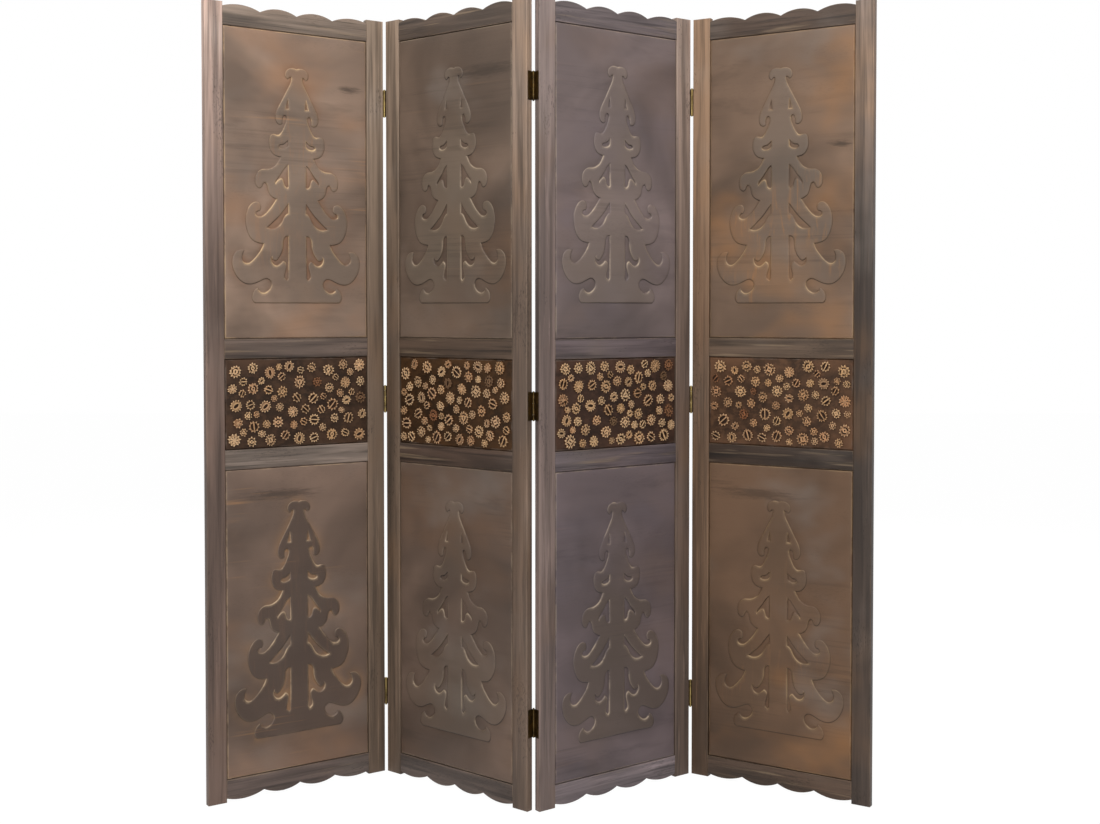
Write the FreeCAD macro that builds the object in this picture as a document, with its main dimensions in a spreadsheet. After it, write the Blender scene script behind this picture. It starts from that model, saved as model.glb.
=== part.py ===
import FreeCAD, Part
import math
import os
import random
import re

# Four-leaf folding screen standing in a zigzag.
# Frame: +Z up, the carved faces look towards -Y, the origin is the middle of the footprint.
# Leaf frame: x across the leaf from its left edge, y from its front face to its back, z up.

SIZES = {
    "leaf_height": 1800.0,
    "leaf_width": 440.0,
    "frame_thickness": 19.0,
    "stile_width": 43.0,
    "end_rail_line": 51.0,
    "mid_rail_height": 44.0,
    "middle_opening": 206.0,
    "rail_setback": 1.0,
    "tenon_length": 25.0,
    "tenon_thickness": 6.0,
    "tenon_shoulder": 10.0,
    "tenon_clearance": 0.1,
    "tongue_depth": 7.0,
    "tongue_thickness": 5.0,
    "tongue_clearance": 0.25,
    "field_margin": 1.2,
    "field_setback": 2.5,
    "field_rounding": 2.0,
    "relief_height": 1.2,
    "tree_side_margin": 20.0,
    "tree_end_margin": 83.0,
    "scallop_count": 4,
    "scallop_crest_drop": 3.0,
    "scallop_cusp_drop": 14.0,
    "scallop_end_drop": 9.0,
    "slice_count": 66,
    "slice_thickness": 4.5,
    "slice_radius_large": 15.0,
    "slice_radius_small": 8.0,
    "slice_spacing": 0.8,
    "slice_edge_margin": 1.3,
    "hinge_length": 63.0,
    "hinge_end_distance": 195.0,
    "hinge_gap": 3.0,
    "hinge_plate_thickness": 1.2,
    "hinge_plate_depth": 15.0,
    "knuckle_diameter": 5.0,
    "knuckle_count": 5,
    "knuckle_gap": 0.4,
    "pin_diameter": 2.6,
    "pin_clearance": 0.05,
    "pin_tip_height": 1.5,
    "screw_diameter": 3.5,
    "screw_head_diameter": 6.4,
    "screw_length": 14.0,
    "screw_clearance": 0.05,
    "screw_spacing": 22.0,
    "screw_slot_width": 0.8,
    "screw_slot_depth": 0.7,
    "leaf_turn_1": 33.7,
    "leaf_turn_2": -39.1,
    "leaf_turn_3": 35.9,
    "leaf_turn_4": -31.4,
}
LEAVES = (1, 2, 3, 4)
PINS = (1, 2, 3)
# The pins of the first and third hinge lines stand before the front faces, the second behind the backs.
PIN_SIDE = {1: "front", 2: "back", 3: "front"}

doc = FreeCAD.newDocument("folding_screen")
sheet = doc.addObject("Spreadsheet::Sheet", "Sizes")
for row, (alias, number) in enumerate(SIZES.items(), start=1):
    sheet.set("A%d" % row, alias)
    sheet.set("B%d" % row, str(number))
    sheet.setAlias("B%d" % row, alias)
doc.recompute()
nodes = []


def size(alias):
    return float(sheet.get(alias))


def count(alias):
    return int(sheet.get(alias))


def bind(item, prop, formula):
    """Ties a property to sheet cells; a formula is written with the bare names of the sizes."""
    item.setExpression(prop, re.sub(r"[a-z][a-z_0-9]*", lambda word: "Sizes." + word.group(), formula))


def place(item, corner):
    for axis, formula in zip("xyz", corner):
        bind(item, "Placement.Base." + axis, formula)


def box(corner, extent):
    item = doc.addObject("Part::Box", "Box")
    for prop, formula in zip(("Length", "Width", "Height"), extent):
        bind(item, prop, formula)
    place(item, corner)
    return item


def cylinder(radius, height, corner, turn=None):
    item = doc.addObject("Part::Cylinder", "Cylinder")
    bind(item, "Radius", radius)
    bind(item, "Height", height)
    if turn is not None:
        item.Placement = FreeCAD.Placement(FreeCAD.Vector(), turn)
    place(item, corner)
    return item


def cone(base_radius, top_radius, height, corner):
    item = doc.addObject("Part::Cone", "Cone")
    bind(item, "Radius1", base_radius)
    bind(item, "Radius2", top_radius)
    bind(item, "Height", height)
    place(item, corner)
    return item


def fuse(pieces):
    item = doc.addObject("Part::MultiFuse", "Fuse")
    item.Shapes = pieces
    return item


def cut(base, tools):
    item = doc.addObject("Part::Cut", "Cut")
    item.Base = base
    item.Tool = tools[0] if len(tools) == 1 else fuse(tools)
    return item


def feature(shape, label):
    item = doc.addObject("Part::Feature", label)
    item.Shape = shape
    return item


def node(item, label, placement=None):
    """Names a finished sub-part and stands it in its place in the screen."""
    item.Label = label
    if placement is not None:
        item.Placement = placement
    nodes.append(item)


# Where the leaves stand

def turned(x, y, degrees):
    angle = math.radians(degrees)
    return x * math.cos(angle) - y * math.sin(angle), x * math.sin(angle) + y * math.cos(angle)


def leaf_turn(leaf):
    return size("leaf_turn_%d" % leaf)


def pin_depth(pin):
    """Depth of a pin's axis in its leaves, measured from their front faces."""
    stand_off = size("knuckle_diameter") / 2
    return -stand_off if PIN_SIDE[pin] == "front" else size("frame_thickness") + stand_off


def stand_leaves():
    """Chains the leaves from pin to pin and centres their footprint on the origin."""
    half_gap = size("hinge_gap") / 2
    width = size("leaf_width")
    corner = (0.0, 0.0)
    corners = {}
    axes = {}
    footprint = []
    for leaf in LEAVES:
        corners[leaf] = corner
        for x in (0.0, width):
            for y in (0.0, size("frame_thickness")):
                dx, dy = turned(x, y, leaf_turn(leaf))
                footprint.append((corner[0] + dx, corner[1] + dy))
        if leaf in PINS:
            dx, dy = turned(width + half_gap, pin_depth(leaf), leaf_turn(leaf))
            axes[leaf] = (corner[0] + dx, corner[1] + dy)
            dx, dy = turned(half_gap, -pin_depth(leaf), leaf_turn(leaf + 1))
            corner = (axes[leaf][0] + dx, axes[leaf][1] + dy)
    middle = [(min(p[i] for p in footprint) + max(p[i] for p in footprint)) / 2 for i in (0, 1)]
    corners = {leaf: (x - middle[0], y - middle[1]) for leaf, (x, y) in corners.items()}
    axes = {pin: (x - middle[0], y - middle[1]) for pin, (x, y) in axes.items()}
    return corners, axes


LEAF_CORNER, PIN_AXIS = stand_leaves()
UP = FreeCAD.Vector(0, 0, 1)


def leaf_placement(leaf):
    x, y = LEAF_CORNER[leaf]
    return FreeCAD.Placement(FreeCAD.Vector(x, y, 0), FreeCAD.Rotation(UP, leaf_turn(leaf)))


# Heights shared by rails, panels, grooves and mortises

LOWER_PANEL = ("end_rail_line", "(leaf_height - middle_opening) / 2 - mid_rail_height")
MIDDLE_PANEL = ("(leaf_height - middle_opening) / 2", "(leaf_height + middle_opening) / 2")
UPPER_PANEL = ("(leaf_height + middle_opening) / 2 + mid_rail_height", "leaf_height - end_rail_line")
OPENINGS = {"lower": LOWER_PANEL, "middle": MIDDLE_PANEL, "upper": UPPER_PANEL}
TENON_HEIGHTS = {
    "bottom_rail": ("scallop_cusp_drop + tenon_shoulder / 2", "end_rail_line - tenon_shoulder"),
    "lower_mid_rail": (LOWER_PANEL[1] + " + tenon_shoulder", MIDDLE_PANEL[0] + " - tenon_shoulder"),
    "upper_mid_rail": (MIDDLE_PANEL[1] + " + tenon_shoulder", UPPER_PANEL[0] + " - tenon_shoulder"),
    "top_rail": ("leaf_height - end_rail_line + tenon_shoulder",
                 "leaf_height - scallop_cusp_drop - tenon_shoulder / 2"),
}
HINGE_HEIGHTS = ("hinge_end_distance", "leaf_height / 2", "leaf_height - hinge_end_distance")
GROOVE_DEPTH = "(tongue_depth + tongue_clearance)"
GROOVE_FRONT = "frame_thickness / 2 - tongue_thickness / 2 - tongue_clearance"
GROOVE_WIDTH = "tongue_thickness + 2 * tongue_clearance"
SCREW_INSET = "hinge_plate_depth / 2"


# Stiles

def stile(leaf, side, hinge_side):
    """An upright with stopped panel grooves, rail mortises and, on a hinged edge, screw holes."""
    left = side == "left"
    outer = "0" if left else "leaf_width - stile_width"
    blank = box((outer, "0", "0"), ("stile_width", "frame_thickness", "leaf_height"))
    tools = []
    groove_x = "stile_width - " + GROOVE_DEPTH if left else "leaf_width - stile_width"
    for low, high in OPENINGS.values():
        tools.append(box((groove_x, GROOVE_FRONT, "%s - %s" % (low, GROOVE_DEPTH)),
                         (GROOVE_DEPTH, GROOVE_WIDTH, "%s - (%s) + 2 * %s" % (high, low, GROOVE_DEPTH))))
    depth = "(tenon_length + tenon_clearance)"
    mortise_x = "stile_width - " + depth if left else "leaf_width - stile_width"
    for low, high in TENON_HEIGHTS.values():
        tools.append(box((mortise_x, "frame_thickness / 2 - tenon_thickness / 2 - tenon_clearance",
                          low + " - tenon_clearance"),
                         (depth, "tenon_thickness + 2 * tenon_clearance",
                          "%s - (%s) + 2 * tenon_clearance" % (high, low))))
    if hinge_side is not None:
        inset = SCREW_INSET if hinge_side == "front" else "frame_thickness - " + SCREW_INSET
        inward = FreeCAD.Rotation(FreeCAD.Vector(0, 1, 0), 90 if left else -90)
        for height in HINGE_HEIGHTS:
            for step in ("- screw_spacing", "", "+ screw_spacing"):
                tools.append(cylinder("screw_diameter / 2 + screw_clearance",
                                      "screw_length - hinge_plate_thickness + screw_clearance",
                                      ("0" if left else "leaf_width", inset, height + step), inward))
    node(cut(blank, tools), "leaf%d_%s_stile" % (leaf, side), leaf_placement(leaf))


# Rails

RAIL_FRONT = "rail_setback"
RAIL_DEPTH = "frame_thickness - 2 * rail_setback"
RAIL_LENGTH = "leaf_width - 2 * stile_width"


def tenons(rail):
    low, high = TENON_HEIGHTS[rail]
    return box(("stile_width - tenon_length", "frame_thickness / 2 - tenon_thickness / 2", low),
               (RAIL_LENGTH + " + 2 * tenon_length", "tenon_thickness", "%s - (%s)" % (high, low)))


def rail_groove(bottom):
    return box(("stile_width", GROOVE_FRONT, bottom), (RAIL_LENGTH, GROOVE_WIDTH, GROOVE_DEPTH))


def mid_rail(leaf, name, low, high):
    """A straight rail that holds a panel in each long edge."""
    bar = box(("stile_width", RAIL_FRONT, low), (RAIL_LENGTH, RAIL_DEPTH, "%s - (%s)" % (high, low)))
    grooves = [rail_groove(low), rail_groove("%s - %s" % (high, GROOVE_DEPTH))]
    node(fuse([cut(bar, grooves), tenons(name)]), "leaf%d_%s" % (leaf, name), leaf_placement(leaf))


def scalloped_bar(top):
    """The blank of an end rail: one straight edge, and convex scallops meeting in cusps on the other."""
    def height(drop):
        return size("leaf_height") - drop if top else drop

    start = size("stile_width")
    pitch = (size("leaf_width") - 2 * start) / count("scallop_count")
    front = size("rail_setback")
    drops = [size("scallop_cusp_drop")] * (count("scallop_count") + 1)
    drops[0] = drops[-1] = size("scallop_end_drop")
    knots = [FreeCAD.Vector(start + i * pitch, front, height(drop)) for i, drop in enumerate(drops)]
    edges = []
    for i, (first, last) in enumerate(zip(knots, knots[1:])):
        crest = FreeCAD.Vector(start + (i + 0.5) * pitch, front, height(size("scallop_crest_drop")))
        edges.append(Part.Arc(first, crest, last).toShape())
    straight = height(size("end_rail_line"))
    far = FreeCAD.Vector(knots[-1].x, front, straight)
    near = FreeCAD.Vector(start, front, straight)
    for first, last in ((knots[-1], far), (far, near), (near, knots[0])):
        edges.append(Part.makeLine(first, last))
    depth = size("frame_thickness") - 2 * front
    return Part.Face(Part.Wire(edges)).extrude(FreeCAD.Vector(0, depth, 0))


def end_rail(leaf, name):
    top = name == "top_rail"
    bar = feature(scalloped_bar(top), "Scallops")
    groove = rail_groove("leaf_height - end_rail_line" if top else "end_rail_line - " + GROOVE_DEPTH)
    node(fuse([cut(bar, [groove]), tenons(name)]), "leaf%d_%s" % (leaf, name), leaf_placement(leaf))


# Carved tree, drawn as strokes on its right half in millimetres from the middle of its base.
# A stroke of two points is straight, a longer one is a smooth curve, and strokes meet in corners.

DRAWN_HALF_WIDTH = 157.0
DRAWN_HEIGHT = 536.0
TREE_OUTLINE = (
    ((0, 0), (103, 0)),
    ((103, 0), (109.5, 9), (107, 22), (97, 32)),
    ((97, 32), (92, 22.5), (84, 19.5), (73, 23.5), (64, 33.5), (63, 45), (73, 54.8), (87, 52), (104, 44.5),
     (124, 43), (141, 53.5), (153, 73), (156.5, 92), (153, 106), (142, 116.5), (130, 117)),
    ((130, 117), (134.5, 106), (134, 94), (124, 86), (110, 92), (96, 107), (86, 121), (81, 134.5)),
    ((81, 134.5), (95, 136.5), (107, 141.5), (116.5, 153), (122.5, 170), (124.5, 187), (121, 205),
     (112.5, 220), (101, 227), (92.5, 224), (90, 216), (93, 208.5)),
    ((93, 208.5), (100, 205.5), (102, 199), (97, 193.5), (88, 193), (76, 201), (62, 217), (49, 236.5)),
    ((49, 236.5), (57, 239.5), (66, 246.5), (70, 256), (72, 265), (75.5, 271.5), (80, 273.5), (84, 270),
     (86.5, 264), (91, 260.5), (96.5, 263), (100.5, 272), (100.5, 283), (95.5, 294), (86, 300.5),
     (72, 301.5), (60, 305.5), (50, 313.5), (43, 324.5), (39, 333.5)),
    ((39, 333.5), (49, 335), (58, 339.5), (64.5, 349), (67, 361), (66, 373), (61.5, 381.5), (54, 381.5),
     (46, 380), (39, 385.5), (33, 395.5), (27.5, 408), (24.5, 418), (26, 426.5), (30.5, 429), (35, 425.5),
     (37.2, 418), (37, 410)),
    ((37, 410), (43, 407.5), (49, 412), (51.5, 422), (49, 435), (41.5, 451), (31, 470), (20, 491),
     (14, 504), (12.5, 513.5)),
    ((12.5, 513.5), (15, 517.5), (19, 516), (22, 512.5)),
    ((22, 512.5), (27, 518.5), (26, 527.5), (19, 534.5), (9, 536), (0, 534)),
)
TREE_HOLES = (
    (((19.5, 442), (29.5, 442)),
     ((29.5, 442), (26.5, 453), (22.5, 468)),
     ((22.5, 468), (20.5, 456), (19.5, 442))),
    (((21, 373.5), (21, 359.5)),
     ((21, 359.5), (25, 353.5), (33, 350.3), (41, 351), (45.5, 355.5), (43, 360.5), (34, 363), (27, 368),
      (21, 373.5))),
    (((21.5, 316.5), (20.5, 266)),
     ((20.5, 266), (25, 261), (31, 265), (34, 273.5), (38.5, 281.5), (46, 278), (53, 269.5)),
     ((53, 269.5), (54.5, 275), (49, 284), (39, 297), (29, 311), (21.5, 316.5))),
    (((21, 229.5), (30, 217.5), (42, 202), (58, 186), (76, 170)),
     ((76, 170), (66, 166), (55, 167), (44, 173.5), (36, 184), (29.5, 196), (20.5, 203)),
     ((20.5, 203), (21, 229.5))),
    (((21, 152.5), (29, 152), (35, 144), (36.8, 129), (40, 115), (47, 103), (55, 97), (60, 99.5),
      (62.5, 106)),
     ((62.5, 106), (65, 97), (60.5, 86.5), (51, 82), (42, 86), (35, 92.5)),
     ((35, 92.5), (30, 89), (29.2, 78), (30, 52.5)),
     ((30, 52.5), (26.5, 49.5), (21.5, 56)),
     ((21.5, 56), (21, 152.5))),
)


def stroke_edge(points):
    if len(points) == 2:
        return Part.makeLine(points[0], points[1])
    curve = Part.BSplineCurve()
    curve.interpolate(points)
    return curve.toShape()


def tree_solid():
    """The relief tree, centred between the stiles and in the lower opening, rising from the field's face."""
    reach = size("leaf_width") / 2 - size("stile_width") - size("tree_side_margin")
    sideways = reach / DRAWN_HALF_WIDTH
    opening_top = (size("leaf_height") - size("middle_opening")) / 2 - size("mid_rail_height")
    upright = (opening_top - size("end_rail_line") - 2 * size("tree_end_margin")) / DRAWN_HEIGHT
    foot = size("end_rail_line") + size("tree_end_margin")
    face_y = size("field_setback") - size("relief_height")

    def edges(strokes, side):
        drawn = []
        for stroke in strokes:
            drawn.append(stroke_edge([
                FreeCAD.Vector(size("leaf_width") / 2 + side * x * sideways, face_y, foot + z * upright)
                for x, z in stroke]))
        return drawn

    outline = Part.Wire(Part.sortEdges(edges(TREE_OUTLINE, 1) + edges(TREE_OUTLINE, -1))[0])
    holes = [Part.Wire(edges(hole, side)) for hole in TREE_HOLES for side in (1, -1)]
    face = Part.Face(outline).cut([Part.Face(hole) for hole in holes])
    rooted = size("relief_height") + size("field_rounding") / 2
    return face.extrude(FreeCAD.Vector(0, rooted, 0))


# Panels

def panel(leaf, name, relief):
    """A slab whose tongue sits in the grooves and whose rounded field stands clear of the frame."""
    low, high = OPENINGS[name]
    tongue = box(("stile_width - tongue_depth", "frame_thickness / 2 - tongue_thickness / 2",
                  low + " - tongue_depth"),
                 (RAIL_LENGTH + " + 2 * tongue_depth", "tongue_thickness",
                  "%s - (%s) + 2 * tongue_depth" % (high, low)))
    field = box(("stile_width + field_margin", "field_setback", low + " + field_margin"),
                (RAIL_LENGTH + " - 2 * field_margin", "frame_thickness - 2 * field_setback",
                 "%s - (%s) - 2 * field_margin" % (high, low)))
    doc.recompute()
    rounded = doc.addObject("Part::Fillet", "RoundedField")
    rounded.Base = field
    radius = size("field_rounding")
    flat_edges = [i for i, edge in enumerate(field.Shape.Edges, start=1) if edge.BoundBox.YLength < radius]
    rounded.Edges = [(i, radius, radius) for i in flat_edges]
    pieces = [tongue, rounded]
    if relief is not None:
        carving = feature(relief, "Tree")
        if name == "upper":
            bind(carving, "Placement.Base.z", "%s - (%s)" % (UPPER_PANEL[0], LOWER_PANEL[0]))
        pieces.append(carving)
    node(fuse(pieces), "leaf%d_%s_panel" % (leaf, name), leaf_placement(leaf))


# Cone slices glued on the middle panel

TOOTH_DEPTH = 0.16
WINDOW_RADIUS = 0.58
BAR_WIDTH = 0.24
EYE_RADIUS = 0.34
PLACES_TRIED = 300


def scatter(rng):
    """Centres and radii of slices, large ones first, each in the clearest of the places tried for it."""
    margin = size("field_margin") + size("field_rounding") + size("slice_edge_margin")
    left = size("stile_width") + margin
    right = size("leaf_width") - left
    low = (size("leaf_height") - size("middle_opening")) / 2 + margin
    high = low + size("middle_opening") - 2 * margin
    radii = [rng.uniform(size("slice_radius_small"), size("slice_radius_large"))
             for _ in range(count("slice_count"))]
    placed = []
    for radius in sorted(radii, reverse=True):
        clearest = None
        widest_gap = size("slice_spacing")
        for _ in range(PLACES_TRIED):
            x = rng.uniform(left + radius, right - radius)
            z = rng.uniform(low + radius, high - radius)
            gap = min((math.hypot(x - px, z - pz) - radius - pr for px, pz, pr in placed), default=math.inf)
            if gap > widest_gap:
                clearest = (x, z, radius)
                widest_gap = gap
        if clearest:
            placed.append(clearest)
    return placed


def slice_solid(x, z, radius, rng):
    """A toothed disc with two windows beside a bar, or with one round eye."""
    front = size("field_setback") - size("slice_thickness")
    turn = rng.uniform(0, 2 * math.pi)
    teeth = rng.randint(9, 12)

    def point(distance, angle):
        across, up = turned(distance, 0, math.degrees(turn + angle))
        return FreeCAD.Vector(x + across, front, z + up)

    rim = []
    for i in range(2 * teeth):
        reach = 1.0 if i % 2 == 0 else 1.0 - TOOTH_DEPTH
        rim.append(point(radius * reach, math.pi * i / teeth))
    face = Part.Face(Part.makePolygon(rim + rim[:1]))
    windows = []
    if rng.random() < 0.7:
        edge_angle = math.asin(BAR_WIDTH / 2 / WINDOW_RADIUS)
        for half in (0.0, math.pi):
            first = point(radius * WINDOW_RADIUS, half + edge_angle)
            crown = point(radius * WINDOW_RADIUS, half + math.pi / 2)
            last = point(radius * WINDOW_RADIUS, half + math.pi - edge_angle)
            windows.append(Part.Wire([Part.Arc(first, crown, last).toShape(), Part.makeLine(last, first)]))
    else:
        across = FreeCAD.Vector(0, 1, 0)
        windows.append(Part.Wire(Part.makeCircle(radius * EYE_RADIUS, point(0, 0), across)))
    face = face.cut([Part.Face(window) for window in windows])
    return face.extrude(FreeCAD.Vector(0, size("slice_thickness"), 0)).Solids[0]


def slices(leaf):
    rng = random.Random(leaf)
    solids = [slice_solid(x, z, radius, rng) for x, z, radius in scatter(rng)]
    label = "leaf%d_slices" % leaf
    node(feature(Part.makeCompound(solids), label), label, leaf_placement(leaf))


# Butt hinges, drawn about the middle of the pin with the plate on the edge to the left of the pin

KNUCKLE_LENGTH = "(hinge_length / knuckle_count)"
PLATE_X = "- hinge_gap / 2"


def hinge_plate(first_knuckle):
    """A plate with every second knuckle from the given one, notched where the other plate's knuckles turn."""
    leaf_reach = "knuckle_diameter / 2 + hinge_plate_depth"
    plate = box((PLATE_X, "0", "- hinge_length / 2"), ("hinge_plate_thickness", leaf_reach, "hinge_length"))
    barrels = []
    tools = []
    for index in range(count("knuckle_count")):
        bottom = "- hinge_length / 2 + %d * %s" % (index, KNUCKLE_LENGTH)
        if index % 2 == first_knuckle:
            barrels.append(cylinder("knuckle_diameter / 2", KNUCKLE_LENGTH + " - knuckle_gap",
                                    ("0", "0", bottom + " + knuckle_gap / 2")))
        else:
            tools.append(box((PLATE_X, "- knuckle_diameter / 2", bottom + " - knuckle_gap / 2"),
                             ("hinge_plate_thickness", "knuckle_diameter + knuckle_gap",
                              KNUCKLE_LENGTH + " + knuckle_gap")))
    trimmed = cut(plate, tools)
    tools = [cylinder("pin_diameter / 2 + pin_clearance", "2 * hinge_length", ("0", "0", "- hinge_length"))]
    sideways = FreeCAD.Rotation(FreeCAD.Vector(0, 1, 0), 90)
    for step in ("- screw_spacing", "0", "screw_spacing"):
        seat = cone("screw_diameter / 2 + screw_clearance", "screw_head_diameter / 2 + screw_clearance",
                    "hinge_plate_thickness", ("0", "0", "0"))
        seat.Placement = FreeCAD.Placement(FreeCAD.Vector(), sideways)
        place(seat, (PLATE_X, "knuckle_diameter / 2 + " + SCREW_INSET, step))
        tools.append(seat)
    return cut(fuse([trimmed] + barrels), tools)


def hinge_pin():
    """A pin with a low button at each end that keeps it in the knuckles."""
    shank = cylinder("pin_diameter / 2", "hinge_length", ("0", "0", "- hinge_length / 2"))
    top = cylinder("knuckle_diameter / 2 - knuckle_gap", "pin_tip_height", ("0", "0", "hinge_length / 2"))
    bottom = cylinder("knuckle_diameter / 2 - knuckle_gap", "pin_tip_height",
                      ("0", "0", "- hinge_length / 2 - pin_tip_height"))
    return fuse([shank, top, bottom])


def screw():
    """A slotted countersunk screw, head up, with the top of its head at the origin."""
    head = cone("screw_diameter / 2", "screw_head_diameter / 2", "hinge_plate_thickness",
                ("0", "0", "- hinge_plate_thickness"))
    shank = cylinder("screw_diameter / 2", "screw_length - hinge_plate_thickness",
                     ("0", "0", "- screw_length"))
    slot = box(("- screw_head_diameter", "- screw_slot_width / 2", "- screw_slot_depth"),
               ("2 * screw_head_diameter", "screw_slot_width", "2 * screw_slot_depth"))
    return cut(fuse([head, shank]), [slot])


def hinge_frame(pin, hand, height):
    """Turns a drawn hinge piece onto one pin; right-hand and rear pieces are the same piece turned over."""
    leaf = pin if hand == "left" else pin + 1
    x, y = PIN_AXIS[pin]
    turn = FreeCAD.Rotation(UP, leaf_turn(leaf))
    if hand == "right":
        turn = turn.multiply(FreeCAD.Rotation(FreeCAD.Vector(0, 1, 0), 180))
    if PIN_SIDE[pin] == "back":
        turn = turn.multiply(FreeCAD.Rotation(FreeCAD.Vector(1, 0, 0), 180))
    return FreeCAD.Placement(FreeCAD.Vector(x, y, height), turn)


def placed_copies(item, frames):
    copies = []
    for frame in frames:
        copy = item.Shape.copy()
        copy.Placement = frame.multiply(copy.Placement)
        copies.extend(copy.Solids)
    return Part.makeCompound(copies)


def hinges():
    """Three hinges on each pin line; the pieces of one kind on one leaf's edge are one group."""
    plates = {"left": hinge_plate(0), "right": hinge_plate(1)}
    pin_piece = hinge_pin()
    screw_piece = screw()
    doc.recompute()
    end = size("hinge_end_distance")
    heights = (end, size("leaf_height") / 2, size("leaf_height") - end)
    head_up = FreeCAD.Rotation(FreeCAD.Vector(0, 1, 0), 90)
    inset = size("knuckle_diameter") / 2 + size("hinge_plate_depth") / 2
    head_x = size("hinge_plate_thickness") - size("hinge_gap") / 2
    steps = (-size("screw_spacing"), 0.0, size("screw_spacing"))
    seats = [FreeCAD.Placement(FreeCAD.Vector(head_x, inset, step), head_up) for step in steps]
    for pin in PINS:
        for hand, plate in plates.items():
            frames = [hinge_frame(pin, hand, height) for height in heights]
            label = "hinge%d_%s_plates" % (pin, hand)
            node(feature(placed_copies(plate, frames), label), label)
            screw_frames = [frame.multiply(seat) for frame in frames for seat in seats]
            label = "hinge%d_%s_screws" % (pin, hand)
            node(feature(placed_copies(screw_piece, screw_frames), label), label)
        frames = [hinge_frame(pin, "left", height) for height in heights]
        label = "hinge%d_pins" % pin
        node(feature(placed_copies(pin_piece, frames), label), label)


# Assembly

tree = tree_solid()
for leaf in LEAVES:
    stile(leaf, "left", PIN_SIDE.get(leaf - 1))
    stile(leaf, "right", PIN_SIDE.get(leaf))
    end_rail(leaf, "bottom_rail")
    mid_rail(leaf, "lower_mid_rail", LOWER_PANEL[1], MIDDLE_PANEL[0])
    mid_rail(leaf, "upper_mid_rail", MIDDLE_PANEL[1], UPPER_PANEL[0])
    end_rail(leaf, "top_rail")
    panel(leaf, "lower", tree)
    panel(leaf, "middle", None)
    panel(leaf, "upper", tree)
    slices(leaf)
hinges()
doc.recompute()

for item in doc.Objects:
    if "Invalid" in item.State or "Error" in item.State:
        raise RuntimeError("failed object: " + item.Label)
for item in nodes:
    if item.Shape.isNull() or not item.Shape.isValid():
        raise RuntimeError("bad shape: " + item.Label)

os.makedirs("parts", exist_ok=True)
for item in nodes:
    item.Shape.exportStep("parts/%s.step" % item.Label)
print("wrote", len(nodes), "sub-parts")
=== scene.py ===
import math
import random
from typing import NamedTuple

import bpy
import bmesh
import numpy as np
from mathutils import Matrix, Vector, noise
from mathutils.geometry import delaunay_2d_cdt


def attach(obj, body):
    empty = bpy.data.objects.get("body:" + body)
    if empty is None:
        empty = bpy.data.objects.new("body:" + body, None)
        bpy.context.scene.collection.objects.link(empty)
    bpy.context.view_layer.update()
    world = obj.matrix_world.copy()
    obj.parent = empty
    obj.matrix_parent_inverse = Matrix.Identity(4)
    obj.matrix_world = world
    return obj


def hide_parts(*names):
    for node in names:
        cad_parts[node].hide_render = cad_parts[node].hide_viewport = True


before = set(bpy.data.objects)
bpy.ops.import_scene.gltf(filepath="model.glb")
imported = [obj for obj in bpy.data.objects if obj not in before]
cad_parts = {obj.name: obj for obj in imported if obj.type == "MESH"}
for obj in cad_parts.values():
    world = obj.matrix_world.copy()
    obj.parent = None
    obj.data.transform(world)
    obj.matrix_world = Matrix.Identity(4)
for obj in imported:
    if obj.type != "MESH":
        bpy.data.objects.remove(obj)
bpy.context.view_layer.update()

MM = 0.001
LEAVES = (1, 2, 3, 4)
JOINTS = (1, 2, 3)

# Sizes of the visible surfaces, in metres

STILE_EASE = 2.2 * MM
RAIL_EASE = 1.3 * MM
FIELD_EASE = 4.0 * MM
TONGUE_EASE = 0.5 * MM
HINGE_EASE = 0.2 * MM
EASE_STEPS = 4
STILE_STEP = 45.0 * MM
RAIL_STEP = 30.0 * MM
FIELD_STEP = 14.0 * MM
STILE_WANDER = 0.25 * MM
RAIL_WANDER = 0.2 * MM
TONGUE_REACH = 7.0 * MM
TONGUE_THICKNESS = 5.0 * MM
FIELD_MARGIN = 1.2 * MM
FIELD_FACE = 1.6 * MM
FIELD_BACK = 2.5 * MM
FIELD_WEAR = 0.45
MIDDLE_FACE = 2.5 * MM
DUST_REACH = 45.0 * MM

# Features to the metre of the noise that bends edges and carved ground, and its step from piece to piece

WANDER_SCALE = 9
WANDER_LAYER = 7.3
RIPPLE_SCALE = 30
RIPPLE_LAYER = 3.1
SWELL_SCALE = 6
SWELL_LAYER = 5.7

# Seeds of the random draws; all but the plan's change with the leaf

RAIL_SEEDS = dict(bottom_rail=31, lower_mid_rail=34, upper_mid_rail=34, top_rail=28)
PANEL_SEED = 50
SLICE_SEED = 100
PLAN_SEED = 7

# Points this near to a plane lie in it, points this near to each other are one, and no length is smaller

FLAT = 1e-5
WELD = 1e-6
PLAN_WELD = 1e-7
TINY = 1e-9

# Edges with a greater angle are shaded sharp, and a corner's offset is divided by no less than the limit

SHARP_EDGE = math.radians(50)
MITRE_LIMIT = 0.45


# Leaf frames: x across the leaf, y from its front face to its back, z up

def node_points(name):
    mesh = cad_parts[name].data
    points = np.empty(len(mesh.vertices) * 3)
    mesh.vertices.foreach_get("co", points)
    return points.reshape(-1, 3)


def top_corners(name):
    points = node_points(name)
    top = points[points[:, 2] > points[:, 2].max() - FLAT]
    return np.unique(np.round(top[:, :2], 6), axis=0)


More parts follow.
